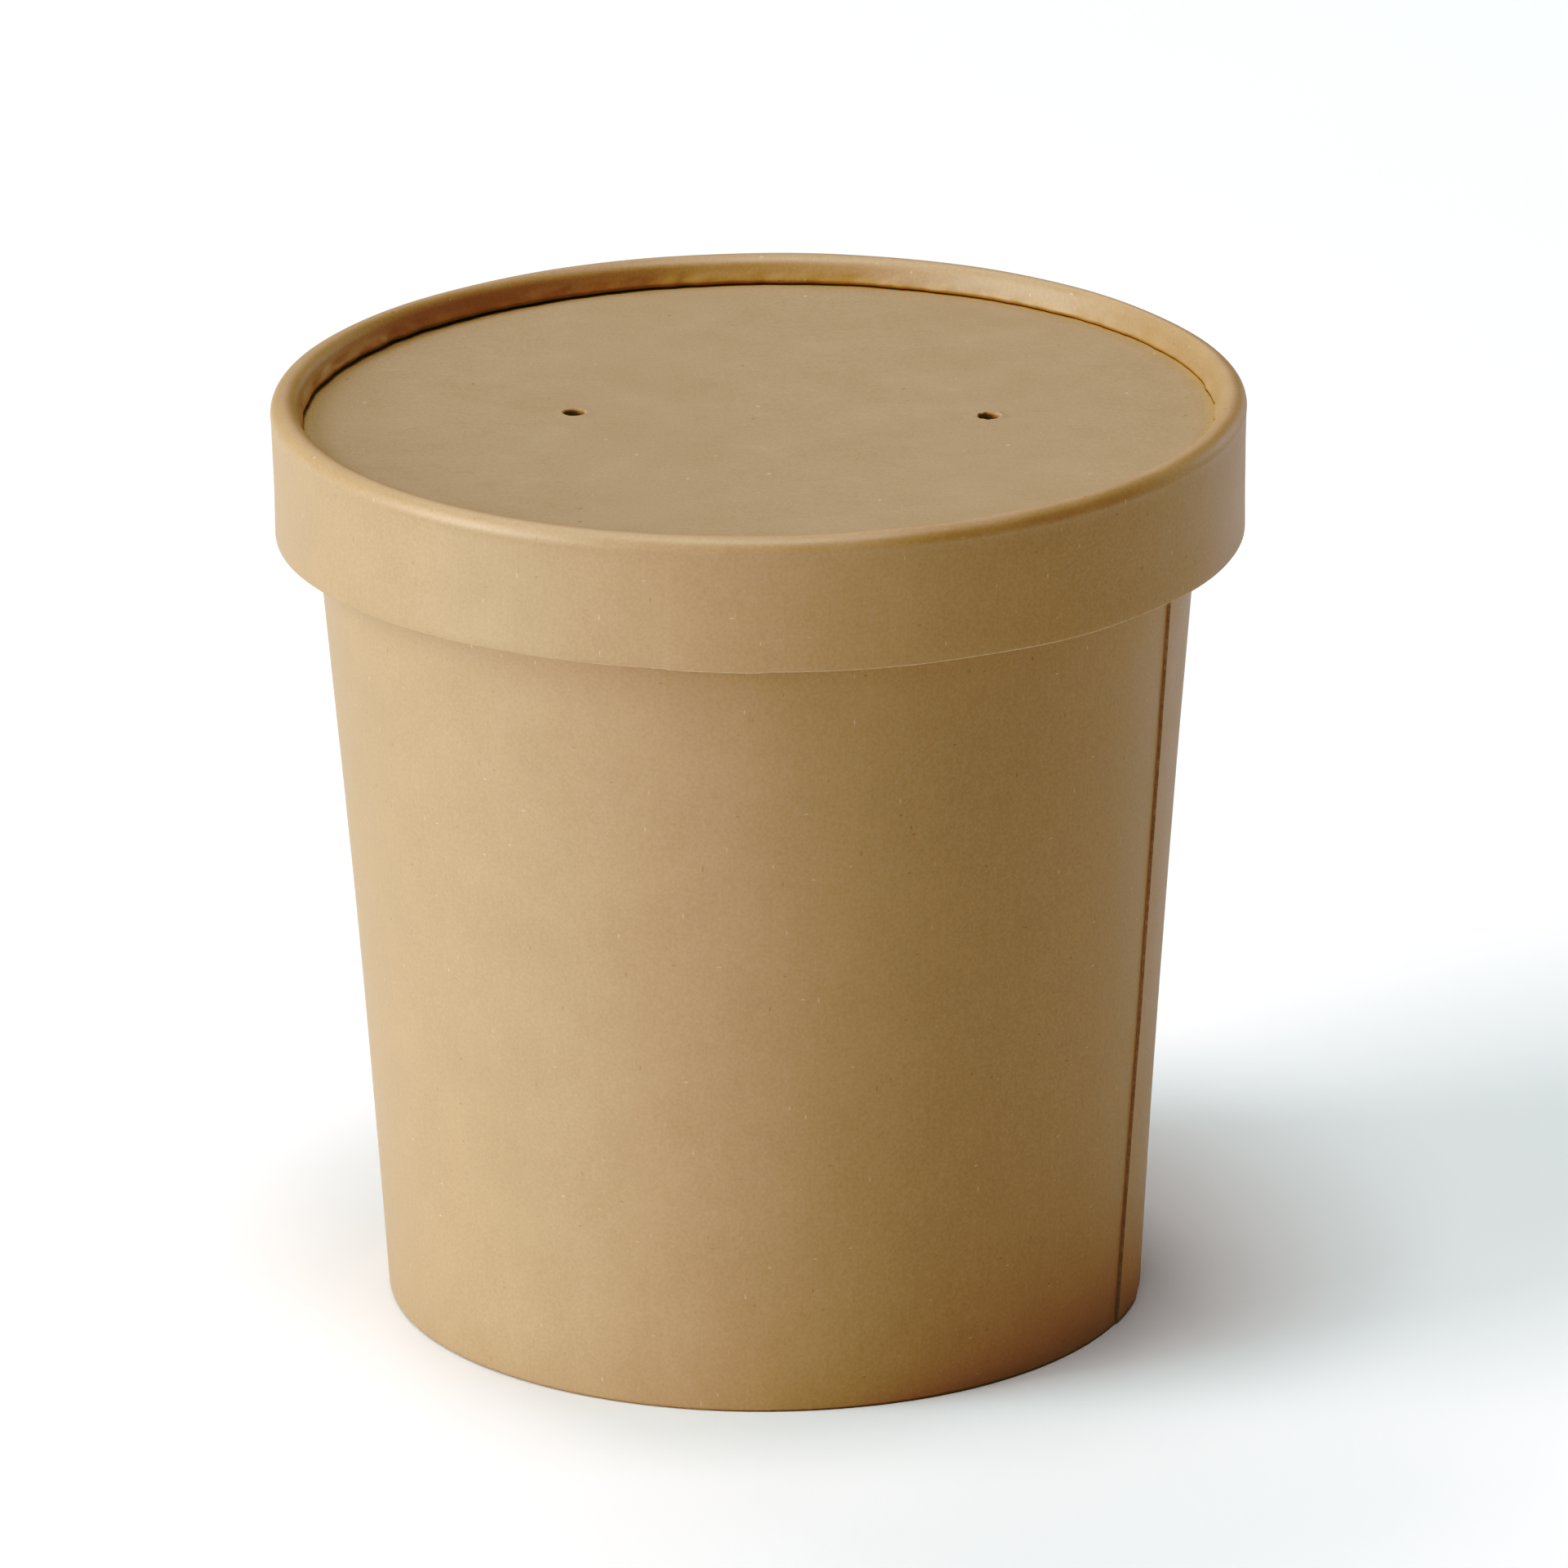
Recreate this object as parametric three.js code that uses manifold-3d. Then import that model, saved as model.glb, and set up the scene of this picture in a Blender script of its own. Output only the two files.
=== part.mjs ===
// A takeaway soup container of brown kraft board: a tapered round cup, shut with a flat paper lid.
// Sizes are millimetres, +Z is up. The origin is the centre of the foot, on the surface it stands on.
// The front is the -Y side, and turns are measured from it toward +X.
import * as THREE from "three";
import { mergeVertices } from "three/addons/utils/BufferGeometryUtils.js";
import Module from "manifold-3d";

const wasm = await Module();
wasm.setup();

// Board and clearances
const PLY = 0.35; // one thickness of the cup's board
const PLATE = 0.5; // thickness of the two flat discs, lid and base
const GAP = 0.3; // clear distance between pieces that touch
const SIDES = 96; // facets round every large circle

// Cup: a fan-shaped sheet rolled into a cone, lapped and glued at one side
const FOOT_RADIUS = 37;
const NECK_RADIUS = 42.65; // outside of the wall, level with the lid's lower edge
const NECK_HEIGHT = 78.2;
const WAIST = 0.32; // how far the sheet draws in halfway, between its two stiff ends
const WALL_STEPS = 8;
const LIP_RADIUS = 45.45; // outside of the rolled lip that the lid closes over
const LIP_BEND = 1.3;
const LIP_STEPS = 6;

// Hem: the wall's lower edge, folded in and up round the edge of the base
const HEM_THICKNESS = 1.8;
const HEM_HEIGHT = 6.2;
const HEM_FOLD = 0.5;
const HEM_FOLD_STEPS = 3;
const HEM_LEDGE = 0.7; // width of the folded edge that the base lies on

// Lap: the sheet's outer end covers its inner end from its cut edge, which faces the front, onward
const LAP_TURN = THREE.MathUtils.degToRad(68.6); // place of the cut edge
const LAP_WIDTH_TURN = THREE.MathUtils.degToRad(12);
const CUT_EDGE_TURN = THREE.MathUtils.degToRad(0.15);
const FULL_TURN = 2 * Math.PI;

// Lid: an upright band, rolled inward at its top into a proud round rim, and closed by a sunk disc
const BAND_RADIUS = 46.9; // outside, at the lower edge
const BAND_THICKNESS = 0.9;
const FLARE_HEIGHT = 82.5; // the band widens from here up to the rim
const LID_TOP = 91.3;
const RIM_RADIUS = 47.13; // outside of the rim
const RIM_BEND = 1.36;
const RIM_START = -15; // degrees from level, where the rim's round leaves the band
const RIM_END = 161; // degrees, where the rolled edge leaves the round and slopes down to the disc
const RIM_STEPS = 12;
const TOE_RADIUS = 44; // where the rolled edge ends, on the disc
const DISC_TOP = 88.6;
const DISC_RADIUS = 45.5;
const VENT_RADIUS = 1.03;
const VENT_SIDES = 24;
const VENTS = [
  { x: -17.85, y: 2.1 },
  { x: 22.15, y: -0.7 },
];
const VENT_PIT_DEPTH = 4; // the dark space that shows through a vent
const VENT_PIT_RADIUS = 1.4;
const OVERCUT = 1; // how far a cutting plug runs past an open face

// Heights and radii that follow from these
const DISC_UNDERSIDE = DISC_TOP - PLATE;
const CUP_TOP = DISC_UNDERSIDE - GAP;
const HEM_INNER_RADIUS = FOOT_RADIUS - HEM_THICKNESS;
const BASE_UNDERSIDE = HEM_HEIGHT + GAP;
const BASE_TOP = BASE_UNDERSIDE + PLATE;
const BASE_RADIUS = HEM_INNER_RADIUS + HEM_LEDGE - GAP;

// Finishes
const kraft = new THREE.MeshStandardMaterial({ color: 0xc9a878, roughness: 0.88, metalness: 0 });
const kraftDisc = new THREE.MeshStandardMaterial({ color: 0xc2a47a, roughness: 0.9, metalness: 0 });

// Points [radius, height] of an arc about a centre, counter-clockwise from one angle to another.
function arc(centreRadius, centreHeight, bend, fromDegrees, toDegrees, steps) {
  return Array.from({ length: steps + 1 }, (_, step) => {
    const degrees = THREE.MathUtils.lerp(fromDegrees, toDegrees, step / steps);
    const angle = THREE.MathUtils.degToRad(degrees);
    return [centreRadius + bend * Math.cos(angle), centreHeight + bend * Math.sin(angle)];
  });
}

// A profile turned about the Z axis. It runs up the outside, so that the faces point outward.
function turned(profile) {
  const points = profile.map(([radius, height]) => new THREE.Vector2(radius, height));
  return new THREE.LatheGeometry(points, SIDES).rotateX(Math.PI / 2);
}

// A geometry as a solid that can be joined and cut.
function toSolid(geometry) {
  const bare = geometry.clone();
  bare.deleteAttribute("normal");
  bare.deleteAttribute("uv");
  const merged = mergeVertices(bare);
  const mesh = new wasm.Mesh({
    numProp: 3,
    vertProperties: merged.attributes.position.array,
    triVerts: new Uint32Array(merged.index.array),
  });
  return new wasm.Manifold(mesh);
}

// A solid back as a geometry.
function toGeometry(solid) {
  const { vertProperties, triVerts } = solid.getMesh();
  const geometry = new THREE.BufferGeometry();
  geometry.setAttribute("position", new THREE.BufferAttribute(vertProperties, 3));
  geometry.setIndex(new THREE.BufferAttribute(triVerts, 1));
  geometry.computeVertexNormals();
  return geometry;
}

// A geometry with a round upright hole at each vent, from one height to another.
function cutAtVents(geometry, radius, fromHeight, toHeight) {
  const length = toHeight - fromHeight;
  const plug = new THREE.CylinderGeometry(radius, radius, length, VENT_SIDES).rotateX(Math.PI / 2);
  const holes = VENTS.map(({ x, y }) => plug.clone().translate(x, y, fromHeight + length / 2));
  const cut = holes.reduce((solid, hole) => solid.subtract(toSolid(hole)), toSolid(geometry));
  return toGeometry(cut);
}

// Outside radius of the cup's wall: a cone, with the slight waist of a rolled sheet.
function wallRadius(height) {
  const share = height / NECK_HEIGHT;
  return THREE.MathUtils.lerp(FOOT_RADIUS, NECK_RADIUS, share) - WAIST * 4 * share * (1 - share);
}

// The cup's profile in three runs: under the base and round the hem, up the wall, and over the lip.
function cupProfile() {
  const ledgeRadius = HEM_INNER_RADIUS + HEM_LEDGE;
  const hemOuterRadius = wallRadius(HEM_FOLD);
  const underside = [
    [0, BASE_TOP + GAP],
    [ledgeRadius, BASE_TOP + GAP],
    [ledgeRadius, HEM_HEIGHT],
    [HEM_INNER_RADIUS, HEM_HEIGHT],
    ...arc(HEM_INNER_RADIUS + HEM_FOLD, HEM_FOLD, HEM_FOLD, 180, 270, HEM_FOLD_STEPS),
    ...arc(hemOuterRadius - HEM_FOLD, HEM_FOLD, HEM_FOLD, 270, 360, HEM_FOLD_STEPS).slice(0, -1),
  ];
  const lipHeight = CUP_TOP - LIP_BEND;
  const wallTop = lipHeight - LIP_BEND;
  const wall = Array.from({ length: WALL_STEPS + 1 }, (_, step) => {
    const height = THREE.MathUtils.lerp(HEM_FOLD, wallTop, step / WALL_STEPS);
    return [wallRadius(height), height];
  });
  const lip = [...arc(LIP_RADIUS - LIP_BEND, lipHeight, LIP_BEND, -90, 90, LIP_STEPS), [0, CUP_TOP]];
  return { underside, wall, lip };
}

// Turn of a lathe column past the lap's cut edge. The first two columns are the edge's two sides.
function columnTurn(column) {
  if (column < 2) return column * CUT_EDGE_TURN;
  return THREE.MathUtils.mapLinear(column, 1, SIDES, CUT_EDGE_TURN, FULL_TURN);
}

// The cup: solid, because it is shut, with its wall one ply thicker over the lap.
function makeCup() {
  const { underside, wall, lip } = cupProfile();
  const profile = [...underside, ...wall, ...lip];
  const lastWallPoint = underside.length + wall.length - 1;
  const geometry = turned(profile);
  const position = geometry.attributes.position;
  for (let vertex = 0; vertex < position.count; vertex++) {
    const column = Math.floor(vertex / profile.length);
    const point = vertex % profile.length;
    const turn = columnTurn(column);
    const overLap = column > 0 && turn < LAP_WIDTH_TURN;
    const onWall = point >= underside.length && point <= lastWallPoint;
    const radius = profile[point][0] + (overLap && onWall ? PLY : 0);
    const angle = LAP_TURN + (column === SIDES ? 0 : turn);
    position.setX(vertex, radius * Math.sin(angle));
    position.setY(vertex, -radius * Math.cos(angle));
  }
  return cutAtVents(geometry, VENT_PIT_RADIUS, CUP_TOP - VENT_PIT_DEPTH, CUP_TOP + OVERCUT);
}

// The base: a disc laid on the hem's folded edge, set up from the foot.
function makeBase() {
  return turned([
    [0, BASE_UNDERSIDE],
    [BASE_RADIUS, BASE_UNDERSIDE],
    [BASE_RADIUS, BASE_TOP],
    [0, BASE_TOP],
  ]);
}

// The lid's band: its upper edge is rolled inward into a round rim, which ends in a toe on the disc.
function makeBand() {
  const toeHeight = DISC_TOP + GAP;
  const innerRadius = BAND_RADIUS - BAND_THICKNESS;
  return turned([
    [BAND_RADIUS, NECK_HEIGHT],
    [BAND_RADIUS, FLARE_HEIGHT],
    ...arc(RIM_RADIUS - RIM_BEND, LID_TOP - RIM_BEND, RIM_BEND, RIM_START, RIM_END, RIM_STEPS),
    [TOE_RADIUS, toeHeight],
    [innerRadius, toeHeight],
    [innerRadius, NECK_HEIGHT],
    [BAND_RADIUS, NECK_HEIGHT],
  ]);
}

// The lid's disc, under the rolled rim, pierced by the steam vents.
function makeDisc() {
  const plate = turned([
    [0, DISC_UNDERSIDE],
    [DISC_RADIUS, DISC_UNDERSIDE],
    [DISC_RADIUS, DISC_TOP],
    [0, DISC_TOP],
  ]);
  return cutAtVents(plate, VENT_RADIUS, DISC_UNDERSIDE - OVERCUT, DISC_TOP + OVERCUT);
}

function named(name, geometry, material) {
  const mesh = new THREE.Mesh(geometry, material);
  mesh.name = name;
  return mesh;
}

const cup = new THREE.Group();
cup.add(named("cup", makeCup(), kraft), named("base_disc", makeBase(), kraftDisc));

const lid = new THREE.Group();
lid.add(named("lid_band", makeBand(), kraft), named("lid_disc", makeDisc(), kraftDisc));

const container = new THREE.Group();
container.add(cup, lid);

export default container;
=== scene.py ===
# %% [markdown]
# # A soup container of brown kraft board
#
# The real container is rolled and folded from four bits of board: a tapered wall, a flat base set
# up from the foot, and a lid made of an upright band and a flat disc. This lesson turns each of
# them from its outline, gives it the small faults of a pressed board thing, and then paints it.
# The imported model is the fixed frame, and every size below is a real one in millimetres.

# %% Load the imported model
import math

import bmesh
import bpy
from mathutils import Matrix, Vector, noise


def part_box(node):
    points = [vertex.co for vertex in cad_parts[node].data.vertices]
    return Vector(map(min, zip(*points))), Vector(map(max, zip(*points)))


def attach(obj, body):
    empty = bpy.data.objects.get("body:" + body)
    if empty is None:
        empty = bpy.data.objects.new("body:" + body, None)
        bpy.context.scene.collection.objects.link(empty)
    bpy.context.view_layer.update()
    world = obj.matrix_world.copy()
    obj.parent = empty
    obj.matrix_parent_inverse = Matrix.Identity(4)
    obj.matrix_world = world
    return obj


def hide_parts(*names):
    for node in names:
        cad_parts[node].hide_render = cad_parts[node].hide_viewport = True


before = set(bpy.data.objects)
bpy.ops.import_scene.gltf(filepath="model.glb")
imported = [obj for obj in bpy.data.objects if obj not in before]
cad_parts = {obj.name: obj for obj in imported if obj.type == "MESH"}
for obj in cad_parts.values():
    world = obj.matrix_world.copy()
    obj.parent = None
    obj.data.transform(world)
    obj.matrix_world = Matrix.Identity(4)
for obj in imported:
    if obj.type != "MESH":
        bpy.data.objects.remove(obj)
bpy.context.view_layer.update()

MM = 0.001
FULL_TURN = 2 * math.pi
print("nodes:", sorted(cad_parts))

# %% [markdown]
# ## The camera
#
# A product photograph like this one is taken with a long lens, from just above the lid, so that
# the upright sides stay nearly parallel. The camera could be parented to a target. Here its three
# axes are worked out from the elevation and the slight roll, which keeps it exact.

# %% Camera
VIEW_ELEVATION = math.radians(18.97)
VIEW_ROLL = -0.0044
VIEW_DISTANCE = 1308.17 * MM
VIEW_AIM = Vector((2.068, 0, 51.098)) * MM
SENSOR_WIDTH = 36
LENS = 308.3


def make_camera():
    """A camera in front of the container, on the -Y side, looking slightly down at it."""
    back = Vector((0, -math.cos(VIEW_ELEVATION), math.sin(VIEW_ELEVATION)))
    level_up = Vector((0, math.sin(VIEW_ELEVATION), math.cos(VIEW_ELEVATION)))
    right = Vector((1, 0, 0)) * math.cos(VIEW_ROLL) + level_up * math.sin(VIEW_ROLL)
    turned = Matrix((right, back.cross(right), back)).transposed().to_4x4()
    data = bpy.data.cameras.new("camera")
    data.sensor_width = SENSOR_WIDTH
    data.lens = LENS
    camera = bpy.data.objects.new("camera", data)
    camera.matrix_world = Matrix.Translation(VIEW_AIM + VIEW_DISTANCE * back) @ turned
    bpy.context.scene.collection.objects.link(camera)
    bpy.context.scene.camera = camera
    return camera


print("camera at, m:", [round(part, 4) for part in make_camera().location])

# %% [markdown]
# ## Outlines and turning
#
# Everything here is round, so each piece starts as half of its cross-section: a chain of points
# that give a radius and a height. Spinning that chain about the upright axis makes the skin.
# Where the spin meets itself, and at the poles, the doubled points are merged, so the skin is
# closed. Turns are measured from the front toward +X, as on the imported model.

# %% Helpers for turned pieces
WELD = 0.0005 * MM
CREASE = math.radians(32)
WEDGE_STEPS = 40


def arc(centre_radius, centre_height, bend, start, end, steps):
    """Points (radius, height) along an arc. Angles are in degrees, counter-clockwise."""
    angles = [math.radians(start + (end - start) * step / steps) for step in range(steps + 1)]
    return [
        (centre_radius + bend * math.cos(angle), centre_height + bend * math.sin(angle))
        for angle in angles
    ]


def between(start, end, steps):
    """Points along a straight stretch, its ends left out."""
    shares = [step / steps for step in range(1, steps)]
    return [tuple(a + (b - a) * share for a, b in zip(start, end)) for share in shares]


def at_turn(radius, turn, height):
    """A place on the container, from millimetres."""
    return Vector((radius * math.sin(turn), -radius * math.cos(turn), height)) * MM


def turn_of(point):
    """The turn of a place, from 0 at the front round to a full turn."""
    return math.atan2(point.x, -point.y) % FULL_TURN


def ease(share):
    """A soft step from 0 to 1."""
    share = min(max(share, 0.0), 1.0)
    return share * share * (3 - 2 * share)


LEAN = 0.0054  # how far the cup tips sideways for each mm of height, as one set down by hand does
FLAT_FOOT = 20.0  # up to this height in mm the lean fades in, so that the foot stays flat


def lean(point, shift=0.0):
    """A place with the lean, pushed sideways by a shift in mm as well."""
    share = ease(point.z / MM / FLAT_FOOT)
    side = point.x + shift * MM - LEAN * point.z
    return Vector((side, point.y, point.z + LEAN * point.x * share))


def spin_outline(bm, outline, sweeps, closed=False):
    """Turn an outline about the Z axis. A sweep is (first turn, last turn, steps).

    A long spin gets slow, so a sweep is spun as one short wedge, which is then copied round.
    """
    for first, last, steps in sweeps:
        wedges = next(count for count in range(1, steps + 1) if steps / count <= WEDGE_STEPS
                      and steps % count == 0)
        angle = (last - first) / wedges
        chain = [bm.verts.new(at_turn(radius, first, height)) for radius, height in outline]
        pairs = list(zip(chain, chain[1:] + chain[:1])) if closed else list(zip(chain, chain[1:]))
        edges = [bm.edges.new(pair) for pair in pairs]
        old_faces = set(bm.faces)
        bmesh.ops.spin(
            bm, geom=chain + edges, cent=(0, 0, 0), axis=(0, 0, 1), angle=angle,
            steps=steps // wedges,
        )
        wedge = [face for face in bm.faces if face not in old_faces]
        for copy in range(1, wedges):
            copied = bmesh.ops.duplicate(bm, geom=wedge)["geom"]
            verts = [item for item in copied if isinstance(item, bmesh.types.BMVert)]
            bmesh.ops.rotate(bm, verts=verts, matrix=Matrix.Rotation(angle * copy, 3, "Z"))
    bmesh.ops.remove_doubles(bm, verts=bm.verts[:], dist=WELD)


def finish_piece(name, bm, materials):
    """Make the object, at the origin, with smooth faces and sharp creases."""
    bmesh.ops.recalc_face_normals(bm, faces=bm.faces[:])
    mesh = bpy.data.meshes.new(name)
    bm.to_mesh(mesh)
    open_edges = sum(1 for edge in bm.edges if len(edge.link_faces) != 2)
    bm.free()
    mesh.shade_smooth()
    mesh.set_sharp_from_angle(angle=CREASE)
    for material in materials:
        mesh.materials.append(material)
    piece = bpy.data.objects.new(name, mesh)
    bpy.context.scene.collection.objects.link(piece)
    mesh.calc_loop_triangles()
    print(f"{name}: {len(mesh.loop_triangles)} triangles, {open_edges} open edges")
    return piece


def relief(point, size, height):
    """A low swell or hollow of the board at a place, in metres, from a size and a height in mm."""
    return noise.noise(point / (size * MM)) * height * MM


# %% [markdown]
# ## Kraft board
#
# Kraft board is unbleached wood pulp. Close up it is cloudy, it has a faint grain where the
# fibres lined up on the mill, and a few short fibres stand out darker or lighter. One function
# builds all of that from noise on the object's own coordinates, so the pattern stays on the
# piece from every side, and each piece then gets its own tint and grain direction.

# %% Node helpers
def add_node(tree, kind, inputs=(), **settings):
    """A node with its settings, and with each (socket, value or source socket) connected."""
    made = tree.nodes.new(kind)
    for key, value in settings.items():
        setattr(made, key, value)
    for socket, value in inputs:
        if isinstance(value, bpy.types.NodeSocket):
            tree.links.new(value, made.inputs[socket])
        else:
            made.inputs[socket].default_value = value
    return made


def number(tree, operation, *values):
    """A Math node's result."""
    inputs = list(enumerate(values))
    return add_node(tree, "ShaderNodeMath", inputs, operation=operation).outputs[0]


def spread(tree, value, from_low, from_high, to_low, to_high):
    """A value mapped from one range to another and held inside it."""
    inputs = [(0, value), (1, from_low), (2, from_high), (3, to_low), (4, to_high)]
    return add_node(tree, "ShaderNodeMapRange", inputs, clamp=True).outputs[0]


def cloud(tree, place, size, detail=3.0, roughness=0.55):
    """Noise whose patches are about a size in mm across."""
    inputs = [("Vector", place), ("Scale", 1 / (size * MM)), ("Detail", detail)]
    made = add_node(tree, "ShaderNodeTexNoise", inputs + [("Roughness", roughness)])
    return made.outputs["Fac"]


def stretched(tree, place, stretch, shift=(0, 0, 0)):
    """Coordinates drawn out along an axis: a stretch of 8 makes a pattern 8 times longer there."""
    scale = tuple(1 / part for part in stretch)
    inputs = [("Vector", place), ("Scale", scale), ("Location", shift)]
    return add_node(tree, "ShaderNodeMapping", inputs).outputs[0]


def blend_colour(tree, share, first, second, mode="MIX"):
    """One colour laid over another."""
    made = add_node(tree, "ShaderNodeMix", data_type="RGBA", blend_type=mode)
    for socket, value in ((0, share), (6, first), (7, second)):
        if isinstance(value, bpy.types.NodeSocket):
            tree.links.new(value, made.inputs[socket])
        else:
            made.inputs[socket].default_value = value
    return made.outputs[2]


# %% The board's look
FIBRE_GAP = 1.5  # average distance between standing-out fibres, in the board's depth too
FIBRE_WIDTH = 0.17


def fibres(tree, place, stretch, shift):
    """Scattered short fibres: how strongly one shows, and whether it is dark (0) or light (1)."""
    spot = stretched(tree, place, stretch, shift)
    inputs = [("Vector", spot), ("Scale", 1 / (FIBRE_GAP * MM)), ("Randomness", 1.0)]
    cells = add_node(tree, "ShaderNodeTexVoronoi", inputs)
    half_width = FIBRE_WIDTH / 2 / FIBRE_GAP
    shown = spread(tree, cells.outputs["Distance"], half_width * 0.4, half_width * 1.2, 1, 0)
    parts = add_node(tree, "ShaderNodeSeparateColor", [(0, cells.outputs["Color"])])
    return shown, number(tree, "GREATER_THAN", parts.outputs[0], 0.5)


# %% Tints of the board
DARK_PULP = (0.965, 0.955, 0.935)  # shares of a board's own tint
LIGHT_PULP = (1.04, 1.045, 1.06)
GRAIN_TINT = (0.30, 0.18, 0.08, 1)
SPECKLE_TINT = (0.95, 0.85, 0.70, 1)
DARK_FIBRE = (0.16, 0.085, 0.035, 1)
LIGHT_FIBRE = (0.85, 0.70, 0.50, 1)
FIBRE_SHOW = 0.36  # how strongly a fibre stands out
PRESS_AND_BOUNCE_TINT = (1.06, 0.99, 0.77, 1)  # partly yellowing by the hot press, partly painted warm bounce light that also lightens the shaded roll
TOOTH_HEIGHT = 0.018  # in mm, as the next two
PULP_HEIGHT = 0.06
FIBRE_HEIGHT = 0.012


def shaded(tint, shares):
    """A tint with each of its parts scaled, as a shader colour."""
    return tuple(part * share for part, share in zip(tint, shares)) + (1,)


def board(name, tint, grain, roughness=0.82, gloss=0.32, press_and_bounce=None):
    """Kraft board of a tint, with its grain drawn out along the axes in grain.

    Where the attribute given by the last argument is 1, the board is yellowed by the press and
    painted with warm bounce light.
    """
    material = bpy.data.materials.new(name)
    material.use_nodes = True
    tree = material.node_tree
    shader = tree.nodes["Principled BSDF"]
    place = add_node(tree, "ShaderNodeTexCoord").outputs["Object"]

    pulp = cloud(tree, place, 7.0, 6.0, 0.62)
    grained = cloud(tree, stretched(tree, place, grain), 0.5, 4.0, 0.65)
    speckle = cloud(tree, place, 0.3, 2.0)
    dark = shaded(tint, DARK_PULP)
    light = shaded(tint, LIGHT_PULP)
    colour = blend_colour(tree, spread(tree, pulp, 0.3, 0.7, 0.0, 1.0), dark, light)
    grain_share = spread(tree, grained, 0.25, 0.75, 0.0, 0.10)
    colour = blend_colour(tree, grain_share, colour, GRAIN_TINT)
    speckle_share = spread(tree, speckle, 0.3, 0.7, 0.06, 0.0)
    colour = blend_colour(tree, speckle_share, colour, SPECKLE_TINT)
    upright, upright_light = fibres(tree, place, (1, 1, 3.2), (0, 0, 0))
    level, level_light = fibres(tree, place, (2.6, 2.6, 1), (0.31, 0.17, 0.11))
    for shown, is_light in ((upright, upright_light), (level, level_light)):
        fibre = blend_colour(tree, is_light, DARK_FIBRE, LIGHT_FIBRE)
        colour = blend_colour(tree, number(tree, "MULTIPLY", shown, FIBRE_SHOW), colour, fibre)
    # the attribute's tint is partly the press's yellowing and partly painted warm bounce light
    if press_and_bounce:
        share = add_node(tree, "ShaderNodeAttribute", attribute_name=press_and_bounce).outputs["Fac"]
        colour = blend_colour(tree, share, colour, PRESS_AND_BOUNCE_TINT, "MULTIPLY")
    tree.links.new(colour, shader.inputs["Base Color"])

    rough = spread(tree, pulp, 0.3, 0.7, roughness - 0.05, roughness + 0.06)
    tree.links.new(rough, shader.inputs["Roughness"])
    shader.inputs["Specular IOR Level"].default_value = gloss

    tooth = cloud(tree, stretched(tree, place, grain), 0.3, 5.0, 0.7)
    swells = number(tree, "MULTIPLY", pulp, PULP_HEIGHT)
    raised = number(tree, "MULTIPLY_ADD", tooth, TOOTH_HEIGHT, swells)
    both_ways = number(tree, "ADD", upright, level)
    raised = number(tree, "MULTIPLY_ADD", both_ways, FIBRE_HEIGHT, raised)
    bump = add_node(tree, "ShaderNodeBump", [("Height", raised), ("Distance", MM)])
    bump.inputs["Strength"].default_value = 0.8
    tree.links.new(bump.outputs["Normal"], shader.inputs["Normal"])
    return material


# %% The look of a cut edge
def cut_board(name, tint):
    """The cut edge of the board: bare pulp, ragged and a little uneven in colour."""
    material = bpy.data.materials.new(name)
    material.use_nodes = True
    tree = material.node_tree
    shader = tree.nodes["Principled BSDF"]
    place = add_node(tree, "ShaderNodeTexCoord").outputs["Object"]
    ragged = cloud(tree, place, 0.6, 4.0, 0.7)
    dark = shaded(tint, (0.82, 0.8, 0.78))
    light = shaded(tint, (1.2, 1.2, 1.2))
    colour = blend_colour(tree, spread(tree, ragged, 0.3, 0.7, 0, 1), dark, light)
    tree.links.new(colour, shader.inputs["Base Color"])
    shader.inputs["Roughness"].default_value = 0.92
    shader.inputs["Specular IOR Level"].default_value = 0.2
    bump = add_node(tree, "ShaderNodeBump", [("Height", ragged), ("Distance", 0.06 * MM)])
    tree.links.new(bump.outputs["Normal"], shader.inputs["Normal"])
    return material


# %% The finishes
KRAFT = (0.442, 0.296, 0.164)
UPRIGHT_GRAIN = (1, 1, 9)
LEVEL_GRAIN = (7, 1, 1)
SATIN = 0.50  # roughness of the outside, which the rollers leave a little smoother
SHEEN = 0.85  # and how strongly it shines
wall_board = board("kraft_wall", KRAFT, UPRIGHT_GRAIN, SATIN, SHEEN)
# the band's roll and the disc's border get painted warm bounce light as well as the press's yellowing
band_board = board("kraft_band", KRAFT, UPRIGHT_GRAIN, SATIN, SHEEN, press_and_bounce="press_and_bounce")
disc_board = board("kraft_disc", (0.405, 0.311, 0.205), LEVEL_GRAIN, 0.86, press_and_bounce="press_and_bounce")
base_board = board("kraft_base", (0.45, 0.325, 0.20), LEVEL_GRAIN, 0.86)
toasted_edge = cut_board("toasted_edge", (0.47, 0.385, 0.30))
band_edge = cut_board("band_edge", (0.54, 0.41, 0.28))
pierced_edge = cut_board("pierced_edge", (0.52, 0.36, 0.22))
print("board finishes:", [material.name for material in bpy.data.materials])

# %% [markdown]
# ## The cup
#
# The wall is a fan-shaped sheet, rolled into a cone and glued where its ends overlap. At its foot
# it is folded in and up round the base, which makes the hem that the cup stands on, and at its
# top it is rolled outward into a lip that the lid grips. A turned outline gives all three at
# once. The overlap is then raised by one thickness of board, from the cut edge onward.

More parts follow.
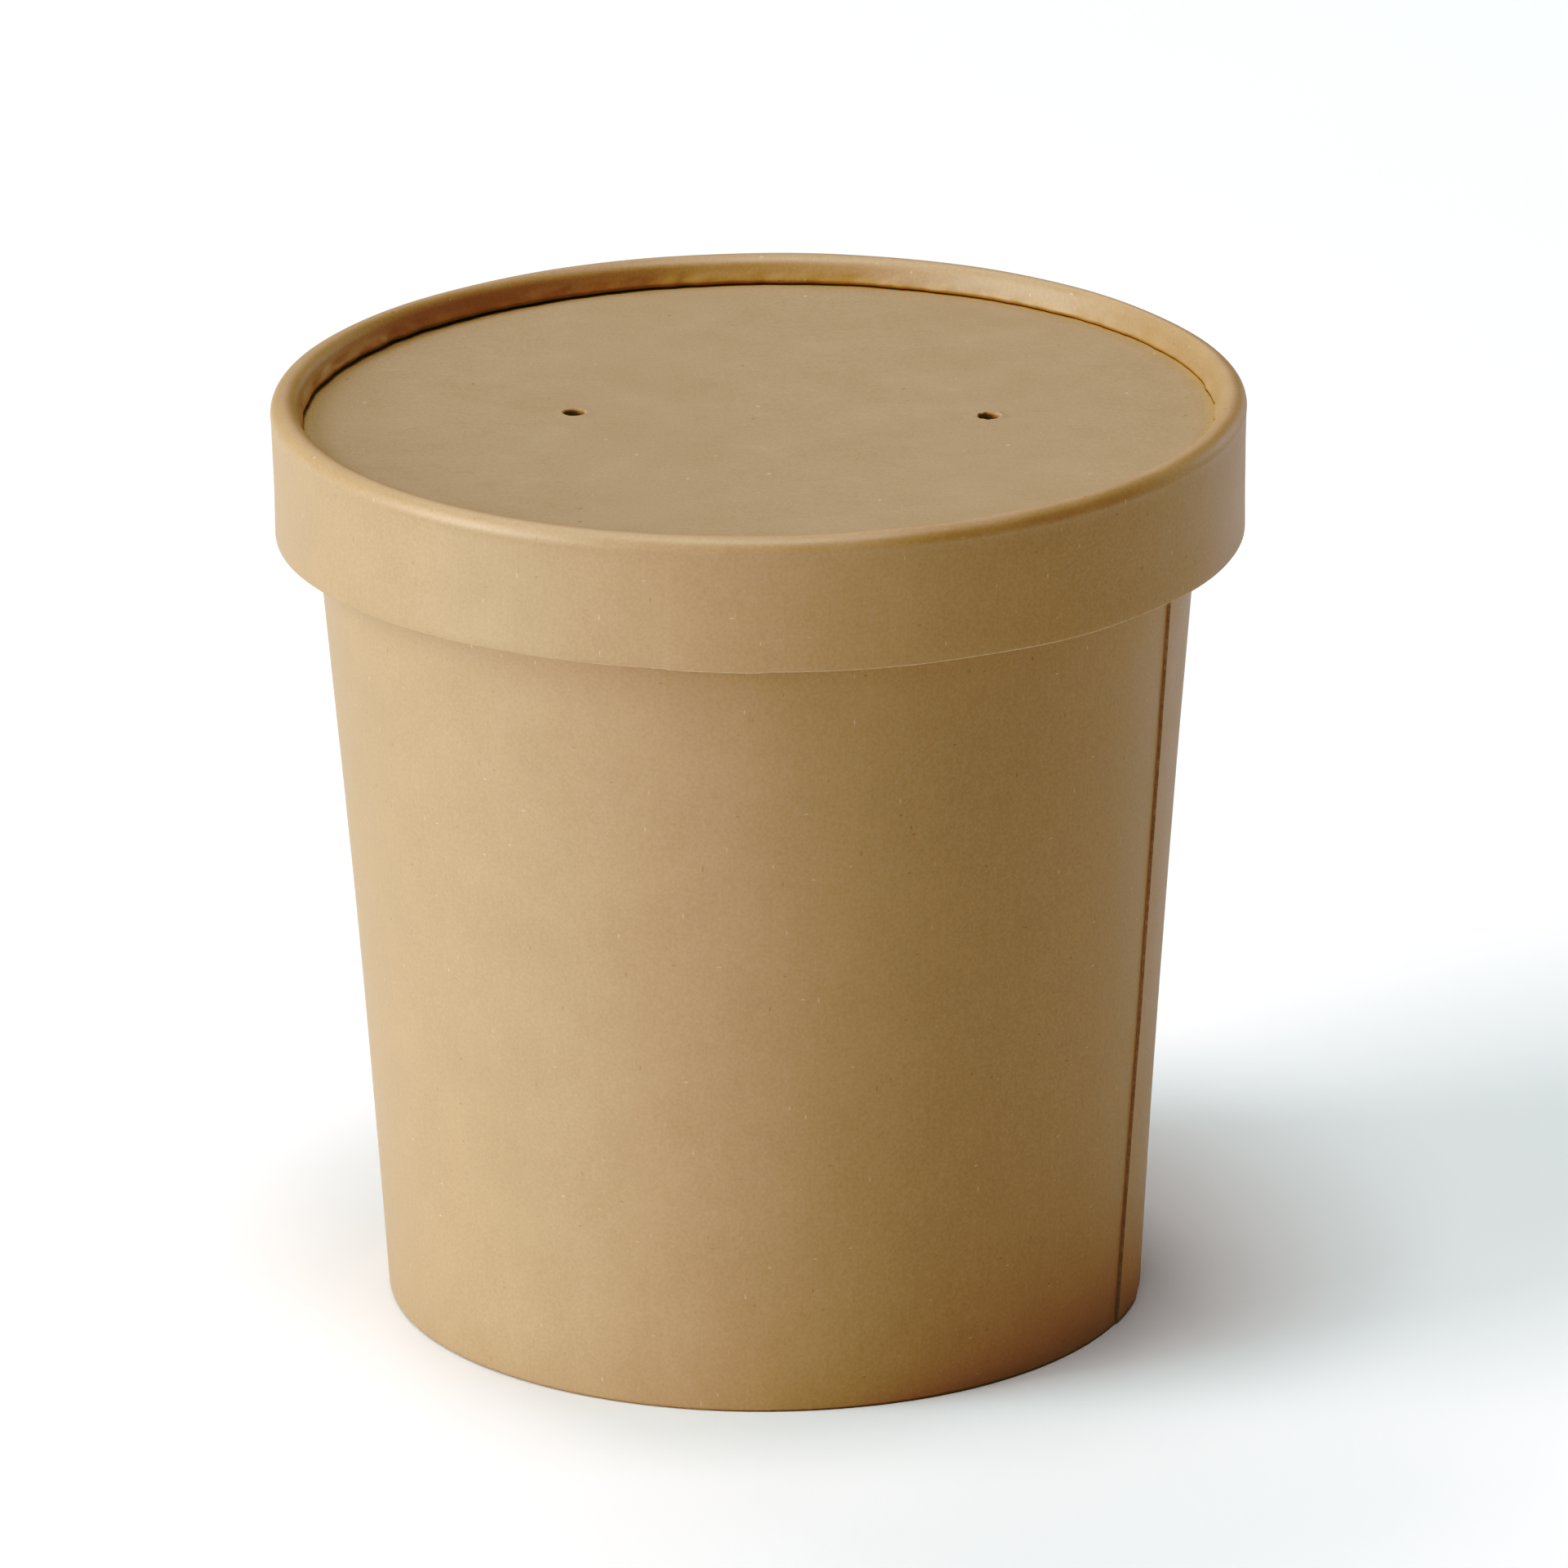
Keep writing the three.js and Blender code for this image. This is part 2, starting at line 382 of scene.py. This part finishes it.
# %% Sizes of the cup
FOOT_RADIUS = 37.0
NECK_RADIUS = 42.65
NECK_HEIGHT = 78.2
WAIST = 0.32  # how far the wall draws in halfway
LIP_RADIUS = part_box("cup")[1].x / MM
CUP_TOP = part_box("cup")[1].z / MM
LIP_BEND = 1.3
HEM_THICKNESS = 1.8
HEM_HEIGHT = 6.2
HEM_FOLD = 0.5
HEM_LEDGE = 0.7
BASE_RECESS = 7.3  # height of the cup's own underside, above the base disc
MOUTH_DEPTH = 4.0  # how far below the lid the dark space goes that the vents show
LAP_RISE = 0.27  # how far the lap stands off the wall where it starts
LAP_TURN = math.radians(67.5)  # the cut edge at the foot
LAP_SLANT = math.radians(0.65)  # how much further toward the back it is under the lid
LAP_BOW = math.radians(1.57)  # how far it bows toward the back halfway up
LAP_WANDER = 0.0022  # in radians, how far it strays from that bow
LAP_FLAT = math.radians(10)  # from here on the lap sinks back to the wall
LAP_END = math.radians(14)
LAP_SWEEP = math.radians(15)  # the part of the wall that is turned in finer steps
CUT_TURN = math.radians(0.06)
WALL_STEPS = 64
WALL_TOP = CUP_TOP - 2 * LIP_BEND
WALL_INSIDE = FOOT_RADIUS - HEM_FOLD - 0.2  # the wall's outside lies further out than this
WALL_SWELLS = [(26, 0.05), (9, 0.02)]  # (size, height) of the board's low relief
print("lip radius and cup top, mm:", round(LIP_RADIUS, 2), round(CUP_TOP, 2))


# %% Outline of the cup
def wall_radius(height):
    """Outside radius of the wall: a cone with the slight waist of a rolled sheet."""
    share = height / NECK_HEIGHT
    return FOOT_RADIUS + (NECK_RADIUS - FOOT_RADIUS) * share - WAIST * 4 * share * (1 - share)


def cup_outline():
    """From the middle of the underside, round the hem, up the wall and over the lip."""
    hem_inner = FOOT_RADIUS - HEM_THICKNESS
    hem_outer = wall_radius(HEM_FOLD)
    lip_height = CUP_TOP - LIP_BEND
    wall = [(hem_outer, HEM_FOLD)]
    for step in range(1, WALL_STEPS + 1):
        height = HEM_FOLD + (WALL_TOP - HEM_FOLD) * step / WALL_STEPS
        wall.append((wall_radius(height), height))
    lip_centre = LIP_RADIUS - LIP_BEND
    mouth = CUP_TOP - MOUTH_DEPTH
    underside = [
        (0, BASE_RECESS),
        (hem_inner + HEM_LEDGE, BASE_RECESS),
        (hem_inner + HEM_LEDGE, HEM_HEIGHT),
        (hem_inner + 0.15, HEM_HEIGHT),
        (hem_inner, HEM_HEIGHT - 0.15),
    ]
    underside += between((hem_inner, HEM_HEIGHT - 0.15), (hem_inner, HEM_FOLD), 10)
    underside += arc(hem_inner + HEM_FOLD, HEM_FOLD, HEM_FOLD, 180, 270, 6)
    underside += arc(hem_outer - HEM_FOLD, HEM_FOLD, HEM_FOLD, 270, 360, 6)[:-1]
    lip = arc(lip_centre, lip_height, LIP_BEND, -90, 180, 30)
    return underside + wall + lip + [(lip_centre - LIP_BEND - 0.2, mouth), (0, mouth)]


# %% Shape the wall
RIBS = 120  # the knurled wheel that presses the hem home leaves fine ribs inside it
RIB_DEPTH = 0.14


def lap_place(height):
    """Turn of the cut edge at a height in mm. It bows a little and wanders."""
    share = min(max(height / NECK_HEIGHT, 0), 1)
    wander = noise.noise(Vector((height / 7, 3.1, 0))) * LAP_WANDER
    return LAP_TURN + LAP_SLANT * share + LAP_BOW * 4 * share * (1 - share) + wander


def shape_wall(point, turn):
    """Where a point of the turned outline ends up, with the lap and the board's low relief."""
    height = point.z / MM
    radius = math.hypot(point.x, point.y) / MM
    outside = radius > WALL_INSIDE and height < WALL_TOP + 0.01
    if outside:
        past_edge = (turn - LAP_TURN) % FULL_TURN
        fade = ease((past_edge - LAP_FLAT) / (LAP_END - LAP_FLAT))
        over_lap = CUT_TURN / 2 < past_edge < LAP_END
        foot = ease(height / (1.6 * HEM_FOLD))
        radius += LAP_RISE * (1 - fade) * foot if over_lap else 0.0
        radius += sum(relief(point, size, swell) for size, swell in WALL_SWELLS) / MM
        turn += lap_place(height) - LAP_TURN
    elif radius < FOOT_RADIUS - HEM_THICKNESS + 0.1 and HEM_FOLD < height < HEM_HEIGHT - 0.3:
        radius += RIB_DEPTH * (0.5 + 0.5 * math.cos(RIBS * turn))
    return lean(at_turn(radius, turn, height))


def make_cup_shell():
    """The rolled wall with its hem and lip, and the toasted cut edge of its lap."""
    bm = bmesh.new()
    sweeps = [
        (LAP_TURN, LAP_TURN + CUT_TURN, 1),
        (LAP_TURN + CUT_TURN, LAP_TURN + LAP_SWEEP, 30),
        (LAP_TURN + LAP_SWEEP, LAP_TURN + FULL_TURN, 468),
    ]
    spin_outline(bm, cup_outline(), sweeps)
    for face in bm.faces:
        centre = face.calc_center_median()
        height = centre.z / MM
        past_edge = (turn_of(centre) - LAP_TURN) % FULL_TURN
        on_wall = math.hypot(centre.x, centre.y) / MM > WALL_INSIDE and height < WALL_TOP
        is_strip = past_edge < CUT_TURN and on_wall
        face.material_index = 1 if is_strip else 0
    for vertex in bm.verts:
        vertex.co = shape_wall(vertex.co.copy(), turn_of(vertex.co))
    return finish_piece("cup_shell", bm, [wall_board, toasted_edge])


cup_shell = make_cup_shell()
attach(cup_shell, "root")
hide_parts("cup")

# %% [markdown]
# ## The base
#
# The base is a disc of board whose rim is held in the hem. Pressing it home leaves it very
# slightly domed toward the food, with a faint ring where the press stood. It only shows when
# the cup is picked up, but it is finished like the rest.

# %% Base plate
BASE_DOME = 0.12
PRESS_RADIUS = 31.0
PRESS_WIDTH = 0.8
PRESS_HEIGHT = 0.05
BASE_EDGE = 0.1  # rounding of the disc's edges
TOP_SHARE = 0.9  # the upper face follows the dome a little less, as the board is squeezed


def make_base_plate():
    """A thin disc with rounded edges, a low dome and a pressed ring."""
    low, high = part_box("base_disc")
    radius = high.x / MM
    bottom = low.z / MM
    top = high.z / MM
    flat = radius - BASE_EDGE
    steps = 44
    under = [(flat * step / steps, bottom) for step in range(steps + 1)]
    over = [(flat * step / steps, top) for step in range(steps, -1, -1)]
    outline = under + [(radius, bottom + BASE_EDGE), (radius, top - BASE_EDGE)] + over
    bm = bmesh.new()
    spin_outline(bm, outline, [(0, FULL_TURN, 240)])
    for vertex in bm.verts:
        reach = math.hypot(vertex.co.x, vertex.co.y) / MM
        dome = BASE_DOME * (1 - (reach / radius) ** 2)
        ring = PRESS_HEIGHT * math.exp(-((reach - PRESS_RADIUS) / PRESS_WIDTH) ** 2)
        on_top = vertex.co.z / MM > bottom + BASE_EDGE
        vertex.co.z += (dome + ring) * MM * (TOP_SHARE if on_top else 1.0)
        vertex.co = lean(vertex.co)
    return finish_piece("base_plate", bm, [base_board])


base_plate = make_base_plate()
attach(base_plate, "root")
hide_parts("base_disc")

# %% [markdown]
# ## The lid's band
#
# The band is a strip of thicker board, closed to a ring and rolled inward at its top, which
# makes the round rim. Inside, the rolled edge slopes down to a toe that holds the disc. There it
# is tinted warm, partly by the hot press's yellowing and partly with painted bounce light, most
# low down and at the left back. The lid was pushed on by hand, so its lower edge is askew and
# hangs lowest at the left, and it has a lap of its own that shows only as a faint step.

# %% Sizes of the lid's band
BAND_RADIUS = 46.9
FLARE_HEIGHT = 82.5  # from here up the band widens toward its rim
BAND_THICKNESS = 0.9
BAND_ROUND = 0.2
RIM_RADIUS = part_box("lid_band")[1].x / MM
RIM_BEND = 1.36
RIM_ARC = (-15, 161)  # where the rim's round leaves the band, and where it slopes off to the disc
RIM_INSIDE = RIM_RADIUS - 2 * RIM_BEND
TOE_RADIUS = 44.0
TOE_BEND = 0.38
TOE_CLEARANCE = 0.02  # between the toe and the disc
TINT_LEAST_TURN = math.radians(40)  # the side where the roll's press yellowing and painted bounce light are least
RIM_FLATS = [(math.radians(122), 0.55), (math.radians(-135), 0.32)]  # where the rim is out of round
FLAT_WIDTH = math.radians(22)
ASKEW = 0.556  # how far the lower edge tips up, and on which side
ASKEW_TURN = math.radians(-80)
BAND_SAG = 0.06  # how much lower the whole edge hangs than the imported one
BAND_LAP_TURN = math.radians(-11)
BAND_LAP_EDGE = math.radians(0.5)
BAND_LAP_FLAT = 0.17
BAND_LAP_FADE = 0.05
BAND_LAP_STEP = 0.015
BAND_LAP_DROP = 0.12
DROOP = 0.78  # how much lower than a straight line the band's lower edge hangs at the left
DROOP_TURN = math.radians(-85)
DROOP_WIDTH = math.radians(42)
LID_SHIFT = 0.30  # the lid sits a little off the cup's middle
DISC_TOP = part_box("lid_disc")[1].z / MM


# %% Outline of the band
def collar_outline():
    """A closed outline: lower edge, outside, rolled rim, and its run-off to a toe on the disc."""
    low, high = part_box("lid_band")
    bottom = low.z / MM
    rim_height = high.z / MM - RIM_BEND
    toe_height = DISC_TOP + TOE_CLEARANCE
    inner_radius = BAND_RADIUS - BAND_THICKNESS
    outline = arc(BAND_RADIUS - BAND_ROUND, bottom + BAND_ROUND, BAND_ROUND, -90, 0, 4)
    outline += between(outline[-1], (BAND_RADIUS, FLARE_HEIGHT), 6)
    rim = arc(RIM_RADIUS - RIM_BEND, rim_height, RIM_BEND, RIM_ARC[0], RIM_ARC[1], 36)
    outline += [(BAND_RADIUS, FLARE_HEIGHT)] + between((BAND_RADIUS, FLARE_HEIGHT), rim[0], 9) + rim
    toe = arc(TOE_RADIUS + TOE_BEND, toe_height + TOE_BEND, TOE_BEND, RIM_ARC[1], 270, 10)
    outline += between(rim[-1], toe[0], 7) + toe + [(inner_radius, toe_height)]
    outline += arc(inner_radius + BAND_ROUND, bottom + BAND_ROUND, BAND_ROUND, 180, 270, 4)
    return outline


# %% Shape the band
def press_and_bounce_share(point, turn):
    """How strongly the roll is tinted, by press yellowing and painted bounce light: most low down and
    at the left back, and patchy.
    """
    height = point.z / MM - DISC_TOP
    if math.hypot(point.x, point.y) / MM > RIM_RADIUS - RIM_BEND or height < -0.5:
        return 0.0
    patches = noise.noise(Vector((turn * 16, 0.5, 0))) * 0.4
    patches += noise.noise(Vector((turn * 60, 3, 0))) * 0.2
    at_back = 0.5 - 0.45 * math.cos(turn - TINT_LEAST_TURN)
    return at_back * ease((1.3 + patches - height) / 1.0)


def shape_collar(point, turn, bottom, top):
    """Lean the lower edge, raise the band's lap, and let the rim wander a little."""
    height = point.z / MM
    radius = math.hypot(point.x, point.y) / MM
    low_share = 1 - (height - bottom) / (top - bottom)
    past_lap = (turn - BAND_LAP_TURN + math.pi) % FULL_TURN - math.pi
    lapped = ease(past_lap / BAND_LAP_EDGE) * (1 - ease((past_lap - BAND_LAP_FLAT) / BAND_LAP_FADE))
    radius += BAND_LAP_STEP * (lapped - 0.5) * low_share
    past_droop = (turn - DROOP_TURN + math.pi) % FULL_TURN - math.pi
    tip = ASKEW * math.cos(turn - ASKEW_TURN) - BAND_LAP_DROP * lapped
    tip -= DROOP * math.exp(-((past_droop / DROOP_WIDTH) ** 2)) + BAND_SAG
    height += low_share ** 2 * (tip + relief(point, 14, 0.16) / MM)
    radius += relief(point, 18, 0.06) / MM
    rim_share = ease((height - FLARE_HEIGHT) / 5) * ease((radius - RIM_INSIDE) / 2)
    for flat_turn, depth in RIM_FLATS:
        away = (turn - flat_turn + math.pi) % FULL_TURN - math.pi
        radius -= rim_share * depth * math.exp(-((away / FLAT_WIDTH) ** 2))
    if radius < RIM_RADIUS - 1.6 * RIM_BEND:
        sunk = ease((DISC_TOP + 1.5 - height) / 0.8)
        radius += sunk * (relief(point, 2.2, 0.16) + relief(point, 0.8, 0.06)) / MM
    crest = ease((height - (top - 2 * RIM_BEND)) / RIM_BEND)
    height += crest * (relief(point, 11, 0.05) / MM - 0.03)
    return lean(at_turn(radius, turn, height), LID_SHIFT)


def make_lid_collar():
    """The band with its rolled rim, and its cut lower edge."""
    low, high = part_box("lid_band")
    bottom = low.z / MM
    top = high.z / MM
    bm = bmesh.new()
    sweeps = [
        (BAND_LAP_TURN, BAND_LAP_TURN + math.radians(1), 8),
        (BAND_LAP_TURN + math.radians(1), BAND_LAP_TURN + FULL_TURN, 640),
    ]
    spin_outline(bm, collar_outline(), sweeps, closed=True)
    for face in bm.faces:
        face.material_index = 1 if face.calc_center_median().z / MM < bottom + 0.1 else 0
    # the roll's tint: partly press yellowing, partly painted warm bounce light in the crook above the
    # disc
    press_and_bounce = bm.verts.layers.float.new("press_and_bounce")
    for vertex in bm.verts:
        turn = turn_of(vertex.co)
        vertex[press_and_bounce] = press_and_bounce_share(vertex.co, turn)
        vertex.co = shape_collar(vertex.co.copy(), turn, bottom, top)
    return finish_piece("lid_collar", bm, [band_board, band_edge])


lid_collar = make_lid_collar()
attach(lid_collar, "root")
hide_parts("lid_band")

# %% [markdown]
# ## The lid's disc
#
# The disc closes the lid just under the rim, and two small steam vents are pierced through it.
# Cutting holes with a boolean would leave ragged faces. Instead the border and the lip of each
# vent are turned as rings, the flat board between them is filled, and the whole skin is pulled
# down by the board's thickness, which makes the holes' own walls too.

# %% Sizes of the disc
PLATE = 0.5
DISC_LEAN = 0.0034  # the disc was pressed home deeper on the left than on the right
BORDER_DIP = 0.10  # the disc dips where the rim presses on it
BORDER_START = 42.0
BORDER_FLAT = 1.4  # width of the border's level part, under the rim
PRESS_AND_BOUNCE_START = 42.2  # from here outward the disc is tinted a little, by the press's yellowing and with painted bounce light
PRESS_AND_BOUNCE_SHARE = 0.5  # how much, with this much more or less at the right and the left:
PRESS_AND_BOUNCE_TO_RIGHT = 0.3
VENT_RADIUS = 1.05
VENT_RING = 2.6
VENTS = [Vector((-17.85, 2.1)), Vector((22.15, -0.7))]
VENT_RAGS = [0.05, 0.13]  # how uneven the edge of each vent is
VENT_UNDERCUT = 0.08  # the hole widens downward, as the punch tears the board's underside
VENT_STEPS = 64
VENT_LIP = [  # (distance outside the hole's radius, height) of the burr round a vent
    (0, -0.16), (0.02, -0.08), (0.07, 0.01), (0.16, 0.06), (0.30, 0.065), (0.55, 0.03), (0.95, 0.003),
]
TEAR_SIZE = 0.55


# %% Lid panel
def vent_ring(bm, centre, top, rag):
    """The lip of one pierced vent: rounded down into the hole, with a low torn burr."""
    outline = [(VENT_RADIUS + reach, height) for reach, height in VENT_LIP] + [(VENT_RING, 0.0)]
    chain = [
        bm.verts.new(Vector((centre.x + reach, centre.y, top + height)) * MM)
        for reach, height in outline
    ]
    edges = [bm.edges.new(pair) for pair in zip(chain, chain[1:])]
    pivot = Vector((centre.x, centre.y, 0)) * MM
    bmesh.ops.spin(
        bm, geom=chain + edges, cent=pivot, axis=(0, 0, 1), angle=FULL_TURN, steps=VENT_STEPS,
        use_merge=True,
    )
    for vertex in bm.verts:
        offset = vertex.co - pivot
        reach = math.hypot(offset.x, offset.y) / MM
        if reach < VENT_RING - 0.05:
            near = 1 - ease((reach - VENT_RADIUS) / (VENT_RING - VENT_RADIUS - 0.1))
            tear = noise.noise(Vector((offset.x, offset.y, rag)) / (TEAR_SIZE * MM)) * rag * near
            pull = 1 + tear / max(reach, 0.1)
            vertex.co.x = pivot.x + offset.x * pull
            vertex.co.y = pivot.y + offset.y * pull
            vertex.co.z += noise.noise(vertex.co / (0.4 * MM)) * rag * 0.5 * near * MM


def border_ring(bm, radius, top):
    """The disc's border, which dips under the rim."""
    steps = 14
    level = radius - BORDER_FLAT
    outline = [(radius, top - BORDER_DIP), (level, top - BORDER_DIP)]
    for step in range(1, steps + 1):
        share = step / steps
        reach = level - (level - BORDER_START) * share
        outline.append((reach, top - BORDER_DIP * (1 - ease(share))))
    spin_outline(bm, outline, [(0, FULL_TURN, 480)])


def make_lid_panel():
    """The disc with its dipped border and its two vents."""
    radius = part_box("lid_disc")[1].x / MM
    bm = bmesh.new()
    border_ring(bm, radius, DISC_TOP)
    for centre, rag in zip(VENTS, VENT_RAGS):
        vent_ring(bm, centre, DISC_TOP, rag)
    flat = []
    for edge in bm.edges:
        if len(edge.link_faces) == 1:
            middle = (edge.verts[0].co + edge.verts[1].co) / 2 / MM
            inner_border = abs(middle.xy.length - BORDER_START) < 0.1
            vent_border = any(abs((middle.xy - centre).length - VENT_RING) < 0.1 for centre in VENTS)
            if inner_border or vent_border:
                flat.append(edge)
    bmesh.ops.triangle_fill(bm, use_beauty=True, edges=flat, normal=(0, 0, 1))
    pulled = bmesh.ops.extrude_face_region(bm, geom=bm.faces[:])["geom"]
    lower = [item for item in pulled if isinstance(item, bmesh.types.BMVert)]
    bmesh.ops.translate(bm, verts=lower, vec=(0, 0, -PLATE * MM))
    bm.normal_update()
    for face in bm.faces:
        centre = face.calc_center_median().xy / MM
        in_vent = any((centre - vent).length < VENT_RADIUS + 0.05 for vent in VENTS)
        face.material_index = 1 if in_vent and abs(face.normal.z) < 0.6 else 0
    for vertex in lower:
        for centre in VENTS:
            away = vertex.co.xy / MM - centre
            if away.length < VENT_RADIUS + 0.4:
                vertex.co.xy += away.normalized() * VENT_UNDERCUT * MM
    press_and_bounce = bm.verts.layers.float.new("press_and_bounce")
    for vertex in bm.verts:
        reach = vertex.co.xy.length / MM
        # the disc's border gets the press's yellowing and painted warm bounce light, more at the
        # right
        right_share = PRESS_AND_BOUNCE_SHARE + PRESS_AND_BOUNCE_TO_RIGHT * vertex.co.x / MM / BORDER_START
        vertex[press_and_bounce] = right_share * ease((reach - PRESS_AND_BOUNCE_START) / (RIM_INSIDE - PRESS_AND_BOUNCE_START))
        vertex.co.z += DISC_LEAN * vertex.co.x
        vertex.co = lean(vertex.co, LID_SHIFT)
    return finish_piece("lid_panel", bm, [disc_board, pierced_edge])


lid_panel = make_lid_panel()
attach(lid_panel, "root")
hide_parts("lid_disc")

# %% [markdown]
# ## Studio
#
# The container stands on a pale seamless floor. Two soft lights at the left, one low and one
# high, give the round body its shading, and a third hangs over the lid. Three weak ones behind
# draw the right edge and the roll out of the shade, and the pale surroundings light the rest.
# A white floor also throws light back up at the foot.

# %% Floor
FLOOR_SIZE = 10.0


def make_floor():
    """A large pale floor whose paint has a barely visible mottle."""
    bm = bmesh.new()
    bmesh.ops.create_grid(bm, x_segments=1, y_segments=1, size=FLOOR_SIZE / 2)
    mesh = bpy.data.meshes.new("floor")
    bm.to_mesh(mesh)
    bm.free()
    material = bpy.data.materials.new("floor_paint")
    material.use_nodes = True
    tree = material.node_tree
    shader = tree.nodes["Principled BSDF"]
    place = add_node(tree, "ShaderNodeTexCoord").outputs["Object"]
    mottle = spread(tree, cloud(tree, place, 60.0), 0.3, 0.7, 0.0, 1.0)
    colour = blend_colour(tree, mottle, (0.918, 0.932, 0.947, 1), (0.922, 0.936, 0.951, 1))
    tree.links.new(colour, shader.inputs["Base Color"])
    shader.inputs["Roughness"].default_value = 0.9
    shader.inputs["Specular IOR Level"].default_value = 0.1
    mesh.materials.append(material)
    floor = bpy.data.objects.new("floor", mesh)
    bpy.context.scene.collection.objects.link(floor)


make_floor()


# %% Lights
def soft_light(name, turn, elevation, distance, size, power, colour):
    """A soft light of a width and height that faces the container, with its turn in degrees."""
    turn = math.radians(turn)
    elevation = math.radians(elevation)
    level = math.cos(elevation)
    away = Vector((math.sin(turn) * level, -math.cos(turn) * level, math.sin(elevation)))
    data = bpy.data.lights.new(name, "AREA")
    data.shape = "RECTANGLE"
    data.size, data.size_y = size
    data.energy = power
    data.color = colour
    light = bpy.data.objects.new(name, data)
    light.location = Vector((0, 0, 45 * MM)) + away * distance
    light.rotation_euler = away.to_track_quat("Z", "Y").to_euler()
    bpy.context.scene.collection.objects.link(light)


WHITE = (1, 1, 1)
soft_light("low_key", -66, 8, 3.0, (1.8, 1.3), 70.5, WHITE)
soft_light("high_key", -74, 36, 3.0, (1.3, 1.3), 35.2, WHITE)
soft_light("overhead", -5, 82, 3.0, (1.3, 1.3), 48.0, WHITE)
soft_light("right_back", 131, 11, 3.0, (1.9, 1.3), 14.6, WHITE)
soft_light("left_back", -150, 56, 3.0, (1.2, 1.2), 15.5, WHITE)
soft_light("back", 180, 40, 3.0, (1.3, 1.3), 6.6, WHITE)

SURROUNDINGS = 0.105
world = bpy.data.worlds.new("surroundings")
world.use_nodes = True
world.node_tree.nodes["Background"].inputs["Color"].default_value = (1, 1, 1, 1)
world.node_tree.nodes["Background"].inputs["Strength"].default_value = SURROUNDINGS
bpy.context.scene.world = world

# %% [markdown]
# ## Developing the picture
#
# A photograph is developed with some contrast. Each pair below says how bright a level of light
# is shown. All colours share one curve with a soft foot, and each then has its own: bright board
# stays a little less red, and shaded board stays warm.

# %% Levels of the picture
ALL_LEVELS = [(0.05, 0.010), (0.12, 0.036), (0.25, 0.167), (0.5, 0.4445), (0.75, 0.722)]
RED_LEVELS = [(0.03, 0.042), (0.10, 0.104), (0.25, 0.25), (0.52, 0.518), (0.70, 0.664)]
GREEN_LEVELS = [
    (0.03, 0.042), (0.07, 0.077), (0.11, 0.100), (0.15, 0.131), (0.20, 0.186), (0.27, 0.265),
    (0.4, 0.4),
]
BLUE_LEVELS = [
    (0.03, 0.013), (0.067, 0.037), (0.10, 0.061), (0.13, 0.093), (0.17, 0.150), (0.22, 0.215),
    (0.3, 0.3), (0.5, 0.5),
]
view = bpy.context.scene.view_settings
view.view_transform = "Standard"
view.use_curve_mapping = True
for channel, levels in enumerate((RED_LEVELS, GREEN_LEVELS, BLUE_LEVELS, ALL_LEVELS)):
    for level, shown in levels:
        view.curve_mapping.curves[channel].points.new(level, shown)
view.curve_mapping.update()
print("lights:", [item.name for item in bpy.data.lights])
